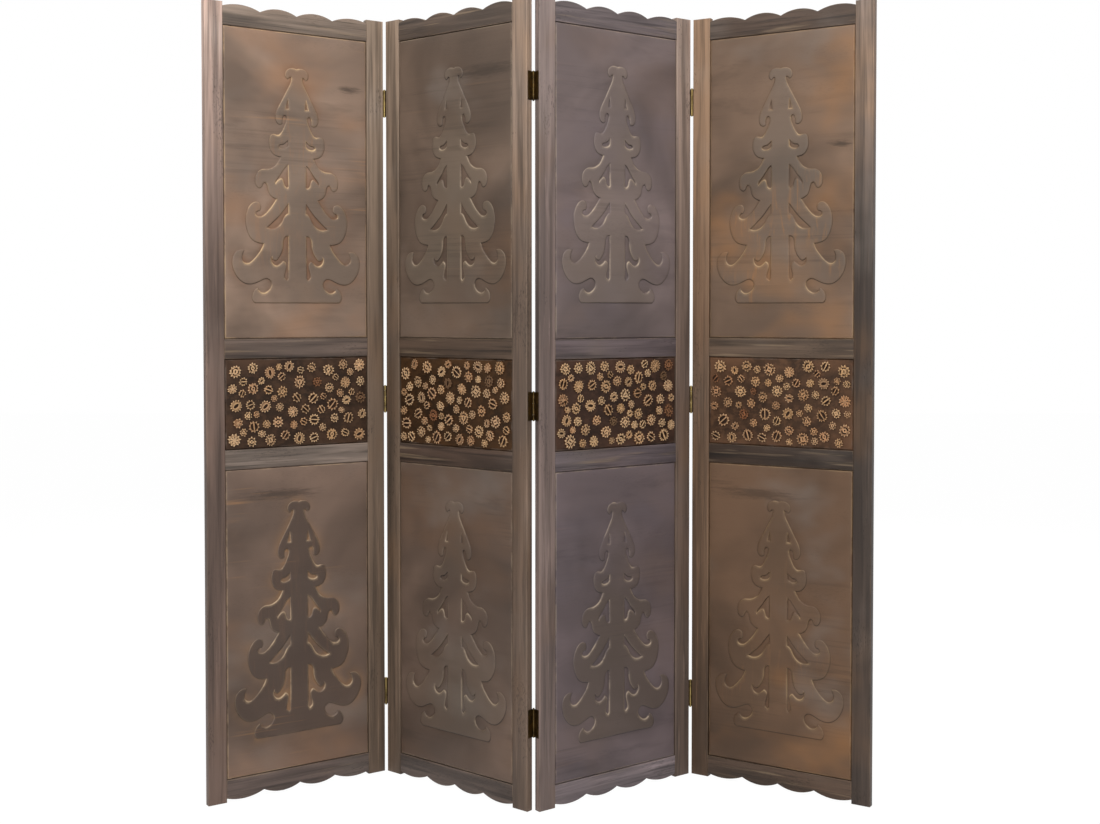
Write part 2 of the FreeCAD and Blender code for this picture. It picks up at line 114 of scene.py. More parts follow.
class Leaf:
    """One leaf's frame, read from the tops of its stiles."""

    def __init__(self, number):
        self.number = number
        left = top_corners("leaf%d_left_stile" % number)
        right = top_corners("leaf%d_right_stile" % number)
        across = right.mean(0) - left.mean(0)
        across /= np.linalg.norm(across)
        back = np.array((-across[1], across[0]))
        origin = across * (left @ across).min() + back * (left @ back).min()
        self.thickness = np.ptp(left @ back)
        self.matrix = Matrix((
            (across[0], back[0], 0, origin[0]),
            (across[1], back[1], 0, origin[1]),
            (0, 0, 1, 0),
            (0, 0, 0, 1)))
        self.inverse = np.array(self.matrix.inverted())

    def local(self, name):
        """A node's points in the leaf's own frame."""
        return node_points(name) @ self.inverse[:3, :3].T + self.inverse[:3, 3]

    def span(self, name):
        points = self.local(name)
        return points.min(0), points.max(0)


leaves = {number: Leaf(number) for number in LEAVES}


# Mesh helpers

def stand(name, data):
    """Stands a new object in the scene."""
    item = bpy.data.objects.new(name, data)
    bpy.context.scene.collection.objects.link(item)
    return item


def add_piece(name, leaf, node, mesh, material):
    """Stands a mesh drawn in the leaf's frame in its place, instead of a node."""
    piece = stand(name, mesh)
    piece.matrix_world = leaf.matrix
    mesh.materials.append(material)
    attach(piece, "leaf_%d" % leaf.number)
    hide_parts(node)


class Builder:
    """Gathers vertices with the marks that the finishes follow, and faces, for one mesh.

    Marks run from 0 to 1: edge is rubbed wood and, on carved panels and slices, also a painted highlight; the
    dark mark is painted shade along carved outlines, in hollows and collars and at feet; scoop is the ground
    beside a tree and tree its raised face. Tone and blush are a slice's own colour.
    """

    MARKS = ("edge", "groove", "scoop", "tree", "tone", "blush")

    def __init__(self):
        self.points = []
        self.marks = {mark: [] for mark in self.MARKS}
        self.faces = []

    def add(self, point, **marks):
        self.points.append(point)
        for mark in self.MARKS:
            self.marks[mark].append(marks.get(mark, 0.0))
        return len(self.points) - 1

    def bridge(self, first, second):
        """Quads between two closed rings of equal length."""
        total = len(first)
        for i in range(total):
            j = (i + 1) % total
            self.faces.append((first[i], first[j], second[j], second[i]))

    def mesh(self, name):
        mesh = bpy.data.meshes.new(name)
        mesh.from_pydata(self.points, [], self.faces)
        for mark, values in self.marks.items():
            layer = mesh.attributes.new(mark, "FLOAT", "POINT")
            layer.data.foreach_set("value", values)
        work = bmesh.new()
        work.from_mesh(mesh)
        bmesh.ops.remove_doubles(work, verts=work.verts, dist=WELD)
        bmesh.ops.recalc_face_normals(work, faces=work.faces)
        work.to_mesh(mesh)
        work.free()
        mesh.shade_smooth()
        mesh.set_sharp_from_angle(angle=SHARP_EDGE)
        return mesh


def offset_ring(outline, distance):
    """Moves a closed outline to its left by a distance, corner by corner."""
    points = np.asarray(outline, float)
    before = points - np.roll(points, 1, 0)
    after = np.roll(points, -1, 0) - points
    before /= np.linalg.norm(before, axis=1, keepdims=True)
    after /= np.linalg.norm(after, axis=1, keepdims=True)
    inward = np.stack((-(before + after)[:, 1], (before + after)[:, 0]), 1)
    length = np.linalg.norm(inward, axis=1, keepdims=True)
    inward /= np.maximum(length, TINY)
    square = inward[:, 0] * -before[:, 1] + inward[:, 1] * before[:, 0]
    return points + inward * (distance / np.maximum(square, MITRE_LIMIT))[:, None]


def eased_sides(build, outline, front, back, ease, wear_and_highlight=1.0):
    """Rings from the front face's border round the eased edges to the back face's border."""
    rings = []
    for step in range(EASE_STEPS + 1):
        angle = 0.5 * math.pi * step / EASE_STEPS
        inset = ease * (1 - math.sin(angle))
        depth = front + ease * (1 - math.cos(angle))
        rings.append((inset, depth, wear_and_highlight * math.sin(2 * angle)))
    rings += [(inset, front + back - depth, edge) for inset, depth, edge in reversed(rings)]
    indices = []
    for inset, depth, edge in rings:
        ring = offset_ring(outline, inset)
        indices.append([build.add((x, depth, z), edge=edge) for x, z in ring])
    for first, second in zip(indices, indices[1:]):
        build.bridge(first, second)
    return indices[0], indices[-1]


def eased_slab(build, outline, front, back, ease):
    first, last = eased_sides(build, outline, front, back, ease)
    build.faces.append(tuple(first))
    build.faces.append(tuple(reversed(last)))


def rectangle(low, high, step):
    """A counter-clockwise rectangle with points along its sides."""
    corners = np.array((low, (high[0], low[1]), high, (low[0], high[1])))
    outline = []
    for start, end in zip(corners, np.roll(corners, -1, 0)):
        pieces = max(1, round(math.dist(start, end) / step))
        outline += [tuple(start + (end - start) * i / pieces) for i in range(pieces)]
    return outline


def worn_outline(outline, amount, seed):
    """Lets a sawn outline wander a little inside its box, as hand-finished wood does."""
    moved = []
    for x, z in outline:
        shift = noise.noise_vector(Vector((x * WANDER_SCALE, seed * WANDER_LAYER, z * WANDER_SCALE)))
        moved.append((x + amount * shift.x, z + amount * shift.z))
    return np.clip(moved, np.min(outline, 0), np.max(outline, 0))


# Materials

def linear(red, green, blue):
    """A colour given in display values from 0 to 255."""
    def channel(value):
        value /= 255
        return value / 12.92 if value <= 0.04045 else ((value + 0.055) / 1.055) ** 2.4
    return channel(red), channel(green), channel(blue), 1.0


class Shader:
    """Short calls for wiring a node material."""

    def __init__(self, name, specular):
        self.material = bpy.data.materials.new(name)
        self.material.use_nodes = True
        self.tree = self.material.node_tree
        self.surface = self.tree.nodes["Principled BSDF"]
        self.surface.inputs["Specular IOR Level"].default_value = specular

    def link(self, source, target):
        self.tree.links.new(source, target)

    def feed(self, item, inputs):
        """Links or sets some of a node's inputs, by their names or numbers."""
        for key, value in inputs.items():
            if isinstance(value, bpy.types.NodeSocket):
                self.link(value, item.inputs[key])
            else:
                item.inputs[key].default_value = value

    def node(self, kind, inputs=None, **settings):
        item = self.tree.nodes.new(kind)
        for key, value in settings.items():
            setattr(item, key, value)
        self.feed(item, inputs or {})
        return item

    def math(self, operation, *values):
        return self.node("ShaderNodeMath", dict(enumerate(values)), operation=operation).outputs[0]

    def mix(self, factor, first, second, blend="MIX"):
        inputs = {0: factor, 6: first, 7: second}
        return self.node("ShaderNodeMix", inputs, data_type="RGBA", blend_type=blend).outputs[2]

    def mark(self, name):
        return self.node("ShaderNodeAttribute", attribute_name=name).outputs["Fac"]

    def point(self):
        """A point in the piece's own frame."""
        return self.node("ShaderNodeTexCoord").outputs["Object"]

    def place(self):
        """The point's X, Y and Z."""
        return self.node("ShaderNodeSeparateXYZ", {0: self.point()}).outputs

    def noise(self, scale, offset, detail=4.0, roughness=0.55, distortion=0.0):
        """Noise that is stretched by a scale for each axis of the piece."""
        place = self.node("ShaderNodeMapping", dict(Vector=self.point(), Scale=scale, Location=offset))
        inputs = dict(Detail=detail, Roughness=roughness, Distortion=distortion)
        inputs.update(Vector=place.outputs["Vector"], Scale=1.0)
        return self.node("ShaderNodeTexNoise", inputs).outputs["Fac"]

    def ramp(self, value, low, high, top=1.0):
        """0 below low, top above high, smooth between."""
        inputs = {"Value": value, "From Min": low, "From Max": high, "To Max": top}
        return self.node("ShaderNodeMapRange", inputs, interpolation_type="SMOOTHSTEP").outputs["Result"]

    def tones(self, value, colours, low, high):
        """A colour from a row of tones, the first at low and the last at high."""
        item = self.node("ShaderNodeValToRGB", dict(Fac=value))
        stops = item.color_ramp.elements
        while len(stops) < len(colours):
            stops.new(0.5)
        for i, colour in enumerate(colours):
            stops[i].position = low + (high - low) * i / (len(colours) - 1)
            stops[i].color = linear(*colour)
        return item.outputs["Color"]

    def bump(self, height, distance, normal=None):
        inputs = dict(Height=height, Distance=distance)
        if normal is not None:
            inputs["Normal"] = normal
        return self.node("ShaderNodeBump", inputs).outputs["Normal"]

    def finish(self, colour, roughness, normal):
        self.feed(self.surface, {"Base Color": colour, "Roughness": roughness, "Normal": normal})
        return self.material


def scaled(tone, factor):
    """A tone made darker or lighter by a factor on its display values."""
    return linear(*(factor * part for part in tone))


def shades(tone, spread):
    """A darker, a plain and a lighter shade of a tone."""
    return [tuple(part * (1 + shift) for part in tone) for shift in (-spread, 0, spread)]


class Layer(NamedTuple):
    """Noise for one layer of a stain, and the two levels of it between which the layer comes in.

    Along and across count its features to the metre along the grain and across it.
    """

    along: float
    across: float
    low: float
    high: float
    detail: float = 4.0
    roughness: float = 0.55
    distortion: float = 0.0


def wood(name, tone, upright, seed, look):
    """Stained and rubbed wood with grain up the piece, or across it, with painted light and shade: by height
    on stiles, and along the carved outlines of panels.
    """
    shader = Shader(name, specular=0.25)
    spots = random.Random(seed)
    layers = {**WOOD_LAYERS, **look["layers"]}
    dark = scaled(tone, DARK_FACTOR)

    def grain(kind):
        """A layer's noise, stretched along the grain."""
        layer = layers[kind]
        along, across = layer.along, layer.across
        scale = (across, across, along) if upright else (along, across, across)
        offset = tuple(spots.uniform(-NOISE_REACH, NOISE_REACH) for _ in range(3))
        return shader.noise(scale, offset, layer.detail, layer.roughness, layer.distortion)

    def shown(kind, value, top=1.0):
        """How far a layer comes in, from its low to its high level."""
        return shader.ramp(value, layers[kind].low, layers[kind].high, top)

    def patch(colour, kind, where=1.0, value=None):
        """Tints the places where a layer shows, with the tone that the look has for it or else a dark one."""
        value = grain(kind) if value is None else value
        share = shader.math("MULTIPLY", shown(kind, value, look[kind]), where)
        tint = linear(*look[kind + "_tone"]) if kind + "_tone" in look else dark
        return shader.mix(share, colour, tint)

    clouds = grain("clouds")
    colour = shader.tones(clouds, shades(tone, look["spread"]), layers["clouds"].low, layers["clouds"].high)
    for kind in ("amber", "veil", "smudge"):
        colour = patch(colour, kind)
    # Painted light and shade by height: the tone changes toward the stile's foot and grows lighter toward its
    # top, as light from above falls on it
    if "fade" in look:
        height = shader.place()["Z"]
        for (low, high, tint), factor in zip(PAINTED_LIGHT_RAMPS, look["fade"]):
            level = (factor * tint[0], factor * tint[1], factor * tint[2], 1)
            colour = shader.mix(shader.ramp(height, low, high), colour, level, "MULTIPLY")
    if "tree" in look:
        colour = patch(colour, "tree", shader.mark("tree"))
        drips = shown("drips", grain("drips"), look["drips"])
        drips = shader.math("MULTIPLY", drips, shown("drip_places", grain("drip_places")))
        drips = shader.math("MULTIPLY", drips, shader.mark("tree"))
        colour = shader.mix(drips, colour, linear(*look["amber_tone"]))
        colour = patch(colour, "scoop", shader.mark("scoop"))
    if "knot" in look:
        x, z, wide, high = look["knot"]
        place = shader.place()
        across = shader.math("DIVIDE", shader.math("SUBTRACT", place["X"], x), wide)
        up = shader.math("DIVIDE", shader.math("SUBTRACT", place["Z"], z), high)
        square = shader.math("MULTIPLY_ADD", across, across, shader.math("MULTIPLY", up, up))
        reach = shader.math("MULTIPLY_ADD", grain("knot"), KNOT_FRAY, shader.math("SQRT", square))
        colour = shader.mix(shown("knot", reach, look["knot_depth"]), colour, dark)
    colour = patch(colour, "bands")
    streaked = shown("streaked", grain("streaked"))
    colour = patch(colour, "flare", streaked)
    veins = grain("veins")
    colour = patch(colour, "veins", streaked, veins)
    speckled = shown("speckles", grain("speckles"))
    flecks = shader.math("MULTIPLY", grain("flecks"), speckled)
    colour = patch(colour, "flecks", value=flecks)
    # Painted shade along the carved outlines darkens the tone
    shade_darkness = shader.math("MULTIPLY", shader.mark("groove"), look["shade_darkness"])
    colour = shader.mix(shade_darkness, colour, scaled(tone, SHADE_FACTOR))
    # Rubbed, paler edges; along the up-facing walls of carved panels this band is also a painted highlight
    colour = patch(colour, "wear_and_highlight", shader.mark("edge"))
    rough = shader.math("MULTIPLY_ADD", clouds, CLOUD_ROUGHNESS, look["roughness"])
    normal = shader.bump(veins, look["ridge"])
    normal = shader.bump(flecks, FLECK_DEPTH, normal)
    return shader.finish(colour, rough, normal)


def dark_ground(name, tone, seed, border):
    """Almost black brown stain with clouds and smears, dusty near its border and rubbed grey along it."""
    shader = Shader(name, specular=0.15)
    offset = (seed * 2.3, seed * 4.1, seed * 1.7)
    clouds = shader.noise((17, 17, 24), offset, roughness=0.6)
    colour = shader.tones(clouds, shades(tone, 0.2), 0.34, 0.68)
    place = shader.place()
    margin = 1.0
    for axis, low, high in zip("XZ", np.min(border, 0), np.max(border, 0)):
        margin = shader.math("MINIMUM", margin, shader.math("SUBTRACT", place[axis], low))
        margin = shader.math("MINIMUM", margin, shader.math("SUBTRACT", high, place[axis]))
    dust = shader.ramp(shader.noise((9, 9, 14), offset, roughness=0.6), 0.4, 0.65, top=0.8)
    dust = shader.math("MULTIPLY", dust, shader.ramp(margin, DUST_REACH, 0.0))
    colour = shader.mix(dust, colour, scaled(tone, DUST_FACTOR))
    smears = shader.ramp(shader.noise((60, 60, 80), offset, roughness=0.6), 0.46, 0.64, top=0.55)
    colour = shader.mix(smears, colour, scaled(tone, SMEAR_FACTOR))
    flecks = shader.noise((70, 70, 260), offset, detail=3, roughness=0.6)
    colour = shader.mix(shader.ramp(flecks, 0.6, 0.75, top=0.25), colour, linear(*GROUND_FLECK_TONE))
    rubbed = shader.ramp(shader.noise((30, 30, 30), offset), 0.4, 0.7, top=0.7)
    worn = shader.math("MULTIPLY", shader.mark("edge"), rubbed)
    colour = shader.mix(worn, colour, linear(*GROUND_WEAR_TONE))
    rough = shader.math("MULTIPLY_ADD", clouds, 0.3, 0.4)
    return shader.finish(colour, rough, shader.bump(flecks, GROUND_DEPTH))


def slice_wood(name):
    """Raw tan cone slices: each has its own tone, hollows darkened with painted shade, pale cut ridges
    brightened as a painted highlight, and a coarse grain.
    """
    shader = Shader(name, specular=0.2)
    colour = shader.tones(shader.mark("tone"), SLICE_TONES, 0.0, 1.0)
    colour = shader.mix(shader.mark("blush"), colour, linear(*SLICE_BLUSH_TONE))
    fleck = shader.noise((300, 300, 300), (0, 0, 0), roughness=0.7)
    colour = shader.mix(shader.ramp(fleck, 0.44, 0.62, top=0.75), colour, linear(*SLICE_FLECK_TONE))
    # Pale cut wood on the rims, brightened further as a painted highlight
    colour = shader.mix(shader.mark("edge"), colour, linear(*SLICE_EDGE_TONE))
    # Painted shade darkens the hollows, the collar, the notches between thorns and the foot
    colour = shader.mix(shader.mark("groove"), colour, linear(*SLICE_SHADE_TONE))
    rough = 0.65
    return shader.finish(colour, rough, shader.bump(fleck, SLICE_DEPTH))


def brass(name, bright, aged, seed):
    """Aged brass with brown tarnish and fine scratches."""
    shader = Shader(name, specular=0.5)
    offset = (seed, seed * 2.0, seed * 3.0)
    tarnish = shader.ramp(shader.noise((90, 90, 60), offset, detail=5, roughness=0.65), 0.35, 0.7)
    colour = shader.mix(tarnish, linear(*bright), linear(*aged))
    scratch = shader.noise((900, 900, 60), offset, detail=3, roughness=0.6)
    shader.surface.inputs["Metallic"].default_value = 1.0
    rough = shader.math("MULTIPLY_ADD", tarnish, 0.25, 0.3)
    return shader.finish(colour, rough, shader.bump(scratch, SCRATCH_DEPTH))


# Finish of each piece, in display colours, and how much of each mark shows

# How far the noise of each layer is moved at random, and the depths of small bumps
NOISE_REACH = 40
FLECK_DEPTH = 0.25 * MM
GROUND_DEPTH = 0.2 * MM
SLICE_DEPTH = 0.6 * MM
SCRATCH_DEPTH = 0.05 * MM
# Factors on a piece's tone for its dark grain, the painted shade along carved outlines, dust, smears and the
# pale flares of stiles
DARK_FACTOR = 0.5
SHADE_FACTOR = 0.28
DUST_FACTOR = 1.55
SMEAR_FACTOR = 1.45
FLARE_FACTOR = 1.4
# How much noise frays a knot's border, and how much clouds roughen the surface
KNOT_FRAY = 1.6
CLOUD_ROUGHNESS = 0.22
WOOD_LAYERS = dict(
    amber=Layer(3.0, 4.4, 0.5, 0.72, detail=3.0),
    veil=Layer(3.6, 5.0, 0.52, 0.74, detail=3.0),
    smudge=Layer(3.4, 14.0, 0.56, 0.74, roughness=0.6, distortion=0.5),
    tree=Layer(3.0, 3.0, 0.3, 0.6, detail=2.0),
    drips=Layer(42.0, 6.0, 0.5, 0.7, detail=6.0, roughness=0.7, distortion=1.4),
    drip_places=Layer(3.4, 3.4, 0.42, 0.6, detail=2.0),
    scoop=Layer(9.0, 11.0, 0.34, 0.62, detail=3.0),
    knot=Layer(26.0, 190.0, 1.7, 0.9, roughness=0.7),
    bands=Layer(1.6, 40.0, 0.5, 0.7, roughness=0.6, distortion=0.4),
    flare=Layer(4.5, 105.0, 0.58, 0.74, detail=3.0),
    veins=Layer(3.0, 120.0, 0.48, 0.7, detail=5.0, roughness=0.65, distortion=0.3),
    speckles=Layer(4.0, 14.0, 0.2, 0.7, detail=2.0),
    flecks=Layer(100.0, 420.0, 0.5, 0.62, detail=3.0, roughness=0.6),
    wear_and_highlight=Layer(16.0, 20.0, 0.36, 0.62, roughness=0.6),
)


def own_layers(cloud_along, cloud_across, streaks_low, streaks_high):
    """Layers that differ between stiles, rails and panels: how clouds stretch and where streaks come in."""
    return dict(
        clouds=Layer(cloud_along, cloud_across, 0.34, 0.66, detail=3.0, roughness=0.5, distortion=0.8),
        streaked=Layer(2.2, 4.0, streaks_low, streaks_high, detail=3.0, roughness=0.6, distortion=0.5))


# Heights between which the painted light and shade at a stile's foot and at its top come in, and their tints
PAINTED_LIGHT_RAMPS = ((0.75, 0.1, (1.0, 1.0, 1.0)), (1.05, 1.75, (0.97, 1.02, 1.05)))
STILE_TONES = {
    1: dict(left=(105, 87, 78), right=(113, 95, 80)),
    2: dict(left=(97, 81, 68), right=(107, 90, 78)),
    3: dict(left=(118, 102, 96), right=(110, 93, 83)),
    4: dict(left=(110, 86, 67), right=(70, 59, 52)),
}
# Factors on a stile's tone at its foot and at its top: painted light and shade, as light falls from above
STILE_PAINTED_LIGHT = {
    1: dict(left=(1.2, 3.6), right=(0.62, 2.2)),
    2: dict(left=(1.28, 2.8), right=(0.94, 2.5)),
    3: dict(left=(1.3, 1.2), right=(0.74, 2.05)),
    4: dict(left=(0.48, 1.8), right=(1.25, 3.3)),
}
RAIL_TONES = {
    1: dict(top_rail=(124, 109, 97), upper_mid_rail=(100, 86, 78),
            lower_mid_rail=(128, 114, 104), bottom_rail=(100, 86, 80)),
    2: dict(top_rail=(97, 83, 73), upper_mid_rail=(80, 65, 54),
            lower_mid_rail=(72, 57, 48), bottom_rail=(100, 87, 80)),
    3: dict(top_rail=(98, 88, 88), upper_mid_rail=(93, 82, 83),
            lower_mid_rail=(102, 91, 94), bottom_rail=(140, 127, 129)),
    4: dict(top_rail=(81, 66, 56), upper_mid_rail=(89, 74, 62),
            lower_mid_rail=(53, 41, 33), bottom_rail=(81, 65, 54)),
}
PANEL_TONES = {
    1: dict(upper=(129, 108, 93), lower=(112, 93, 81)),
    2: dict(upper=(99, 83, 71), lower=(98, 81, 70)),
    3: dict(upper=(110, 97, 95), lower=(98, 86, 87)),
    4: dict(upper=(109, 88, 72), lower=(94, 72, 55)),
}
GROUND_TONES = {1: (55, 40, 30), 2: (52, 35, 20), 3: (55, 39, 31), 4: (70, 50, 36)}
GROUND_FLECK_TONE = (92, 70, 54)
GROUND_WEAR_TONE = (116, 102, 92)
SLICE_TONES = ((80, 60, 44), (156, 108, 64), (204, 154, 100))
SLICE_BLUSH_TONE = (166, 88, 44)
SLICE_FLECK_TONE = (66, 38, 20)
SLICE_EDGE_TONE = (246, 212, 168)
SLICE_SHADE_TONE = (52, 34, 22)
# Tone of each brass where it is bright and where it is tarnished
PALE_BRASS = ((152, 132, 84), (94, 78, 50))
ANTIQUE_BRASS = ((104, 84, 50), (44, 34, 24))
# Share of the slices' pale edges, cut wood with a painted highlight, that shows on each leaf
SLICE_SHINE = {1: 1.0, 2: 0.95, 3: 1.0, 4: 0.7}
# A look holds the share of each layer that shows, tones for tinted layers, and the height of the veins
STILE_LOOK = dict(
    layers=own_layers(1.3, 24.0, 0.0, 0.1), spread=0.16, amber=0.4, amber_tone=(122, 92, 66), veil=0.25,
    veil_tone=(122, 112, 104), smudge=0.18, bands=0.45, flare=0.5, veins=0.5, flecks=0.55, shade_darkness=0.6,
    wear_and_highlight=0.18, wear_and_highlight_tone=(168, 144, 118), roughness=0.4, ridge=0.5 * MM)
RAIL_LOOK = dict(
    layers=own_layers(2.6, 30.0, 0.0, 0.1), spread=0.2, amber=0.2, amber_tone=(122, 92, 66), veil=0.35,
    veil_tone=(122, 112, 104), smudge=0.35, bands=0.5, flare=0.4, flare_tone=(160, 138, 112), veins=0.75,
    flecks=0.45, shade_darkness=0.6, wear_and_highlight=0.4, wear_and_highlight_tone=(168, 144, 118), roughness=0.4, ridge=1.1 * MM)
PANEL_LOOK = dict(
    layers=own_layers(3.0, 3.6, 0.5, 0.66), spread=0.17, amber=0.55, veil=0.45, veil_tone=(126, 116, 108),
    smudge=0.28, bands=0.05, flare=0.06, flare_tone=(190, 140, 92), veins=0.3, flecks=0.1, shade_darkness=0.8,
    wear_and_highlight=0.95, wear_and_highlight_tone=(214, 180, 136), knot_depth=0.75, roughness=0.36, ridge=0.08 * MM)
# What differs on the carved panels of each leaf
LEAF_LOOK = {
    1: dict(amber_tone=(156, 114, 82), flare=0.35),
    2: dict(amber_tone=(116, 86, 62), amber=0.4, wear_and_highlight=0.7, wear_and_highlight_tone=(178, 158, 132)),
    3: dict(
        amber_tone=(118, 98, 88), amber=0.35, veil_tone=(110, 99, 104), wear_and_highlight=0.8, wear_and_highlight_tone=(190, 170, 146)),
    4: dict(amber_tone=(152, 108, 68), amber=0.6, wear_and_highlight=0.7, wear_and_highlight_tone=(188, 158, 118)),
}
# What differs on each carved panel; a knot has its middle across and up the leaf and its reach, in metres
CARVED_LOOK = {
    1: dict(
        upper=dict(tree=0.45, tree_tone=(107, 96, 85), drips=0.4, scoop=0.7, scoop_tone=(124, 86, 60),
                   knot=(0.352, 1.63, 0.04, 0.0125)),
        lower=dict(tree=0.8, tree_tone=(79, 65, 57), drips=0.1, scoop=0.7, scoop_tone=(154, 116, 80),
                   amber=0.35, veins=0.08, smudge=0.1, wear_and_highlight_tone=(204, 176, 142),
                   knot=(0.176, 0.69, 0.13, 0.018), knot_depth=0.6)),
    2: dict(
        upper=dict(tree=0.45, tree_tone=(115, 103, 89), drips=0.1, scoop=0.6, scoop_tone=(82, 62, 50),
                   knot=(0.32, 1.65, 0.13, 0.026), knot_depth=0.5),
        lower=dict(tree=0.4, tree_tone=(107, 93, 80), drips=0.1, scoop=0.6, scoop_tone=(84, 66, 54))),
    3: dict(
        upper=dict(tree=0.45, tree_tone=(124, 110, 98), drips=0.15, scoop=0.5, scoop_tone=(98, 84, 78)),
        lower=dict(tree=0.7, tree_tone=(91, 78, 68), drips=0.05, scoop=0.5, scoop_tone=(88, 73, 68))),
    4: dict(
        upper=dict(tree=0.45, tree_tone=(107, 98, 89), drips=0.75, scoop=0.6, scoop_tone=(104, 82, 64),
                   knot=(0.362, 1.486, 0.04, 0.0125)),
        lower=dict(tree=0.5, tree_tone=(96, 75, 57), drips=0.3, scoop=0.6, scoop_tone=(92, 66, 46),
                   knot=(0.17, 0.686, 0.13, 0.02), knot_depth=0.5)),
}


# Frame pieces

def build_stile(leaf, side):
    node = "leaf%d_%s_stile" % (leaf.number, side)
    low, high = leaf.span(node)
    seed = leaf.number * 2 + (side == "right")
    outline = rectangle(low[::2], high[::2], STILE_STEP)
    build = Builder()
    eased_slab(build, worn_outline(outline, STILE_WANDER, seed), low[1], high[1], STILE_EASE)
    tone = STILE_TONES[leaf.number][side]
    flare_tone = [FLARE_FACTOR * part for part in tone]
    look = dict(STILE_LOOK, fade=STILE_PAINTED_LIGHT[leaf.number][side], flare_tone=flare_tone)
    material = wood("%s_wood" % node, tone, True, seed, look)
    add_piece("stile_%d_%s" % (leaf.number, side), leaf, node, build.mesh(node), material)


def rail_outline(leaf, name):
    """The rail's outline between the stiles, with its scallops as they are cut, counter-clockwise."""
    points = leaf.local("leaf%d_%s" % (leaf.number, name))
    face = points[points[:, 1] < points[:, 1].min() + FLAT][:, (0, 2)]
    face = np.unique(np.round(face, 6), axis=0)
    low, high = face.min(0), face.max(0)
    if name == "top_rail":
        curve = sorted(tuple(p) for p in face if p[1] > low[1] + FLAT)
        return [tuple(low), (high[0], low[1])] + curve[::-1]
    if name == "bottom_rail":
        curve = sorted(tuple(p) for p in face if p[1] < high[1] - FLAT)
        return [tuple(high), (low[0], high[1])] + curve
    return rectangle(low, high, RAIL_STEP)


def build_rail(leaf, name):
    node = "leaf%d_%s" % (leaf.number, name)
    seed = leaf.number * 20 + RAIL_SEEDS[name]
    depth = leaf.local(node)[:, 1]
    build = Builder()
    outline = worn_outline(rail_outline(leaf, name), RAIL_WANDER, seed)
    eased_slab(build, outline, depth.min(), depth.max(), RAIL_EASE)
    material = wood("%s_wood" % node, RAIL_TONES[leaf.number][name], False, seed, RAIL_LOOK)
    add_piece("rail_%d_%s" % (leaf.number, name), leaf, node, build.mesh(node), material)


# Carved panels

CARVED_WALL = 1.0 * MM
CARVED_SLOPE = 2.2 * MM
CARVED_EDGE = 0.3 * MM
EDGE_FADE = 0.8 * MM
HOLE_DEPTH = 2.2 * MM
RIM_DEPTH = 1.2 * MM
SCOOP_FADE = 11.0 * MM
GROOVE_WIDTH = 0.9 * MM
RUB_AND_HIGHLIGHT_REACH = 0.3 * MM
TREE_BLUR = 0.6 * MM
RIPPLE_DEPTH = 0.3 * MM
CALM_REACH = 10.0 * MM
LOOP_STEP = 0.8 * MM
# Rings along the outline, by their distance outside it, and grids by spacing, nearest and farthest distance
RING_REACHES = (-0.6 * MM, 0.0, 0.5 * MM, 1.1 * MM, 2.0 * MM, 3.2 * MM)
GRIDS = (
    (3.4 * MM, 3.9 * MM, 9.0 * MM),
    (6.5 * MM, 9.0 * MM, 24.0 * MM),
    (14.0 * MM, 24.0 * MM, 400.0 * MM))
# Of a grid's spacing: from row to row, how far points stray, and how far they keep from the border
ROW_RISE = 0.866
GRID_SHAKE = 0.15
GRID_CLEAR = 0.4
SHARP_TURN = math.radians(32)
HOLLOW_WINDOW = 6
HOLLOW_RADIUS = 8 * MM
BLOCK = 1000


def face_loops(leaf, node):
    """Closed outlines of the raised face of a carved panel, with the tree on their left."""
    points = leaf.local(node)
    face_y = points[:, 1].min()
    used = set()
    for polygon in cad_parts[node].data.polygons:
        corners = list(polygon.vertices)
        if max(points[i][1] for i in corners) > face_y + FLAT:
            continue
        keys = [(round(points[i][0], 6), round(points[i][2], 6)) for i in corners]
        for side in zip(keys, keys[1:] + keys[:1]):
            if side[::-1] in used:
                used.remove(side[::-1])
            else:
                used.add(side)
    step = dict(sorted(used))
    loops = []
    while step:
        start, current = step.popitem()
        loop = [start]
        while current != start:
            loop.append(current)
            current = step.pop(current)
        loops.append(np.array(loop))
    return loops


def turns(loop):
    """The angle that a loop turns to the left by at each of its points."""
    arrive = loop - np.roll(loop, 1, 0)
    leave = np.roll(loop, -1, 0) - loop
    cross = arrive[:, 0] * leave[:, 1] - arrive[:, 1] * leave[:, 0]
    return np.arctan2(cross, (arrive * leave).sum(1))


def thin(loop, least):
    """Drops points of smooth stretches that stand closer than a least distance to the one before."""
    kept = [loop[0]]
    for point, turn in zip(loop[1:], turns(loop)[1:]):
        if abs(turn) > SHARP_TURN or np.linalg.norm(point - kept[-1]) > least:
            kept.append(point)
    return np.array(kept)


def refine(loop):
    """Puts a point between each two of a loop on a smooth curve that keeps sharp corners."""
    after = np.roll(loop, -1, 0)
    chord = after - np.roll(loop, 1, 0)
    length = np.linalg.norm(after - loop, axis=1, keepdims=True)
    unit = chord / np.linalg.norm(chord, axis=1, keepdims=True)
    tangent = np.where((np.abs(turns(loop)) < SHARP_TURN)[:, None], unit, 0)
    middle = (loop + after) / 2 + length * (tangent - np.roll(tangent, -1, 0)) / 8
    return np.stack((loop, middle), 1).reshape(-1, 2)


def hollow_stretches(loop):
    """1 along a hole's outline and where the tree's outline bends inward, 0 where it bends outward."""
    turn = turns(loop)
    if turn.sum() < 0:
        return np.ones(len(loop))
    length = np.linalg.norm(np.roll(loop, -1, 0) - loop, axis=1)
    near = range(-HOLLOW_WINDOW, HOLLOW_WINDOW + 1)
    bend = sum(np.roll(turn, i) for i in near) / sum(np.roll(length, i) for i in near)
    return np.clip(0.5 - bend * HOLLOW_RADIUS, 0, 1)


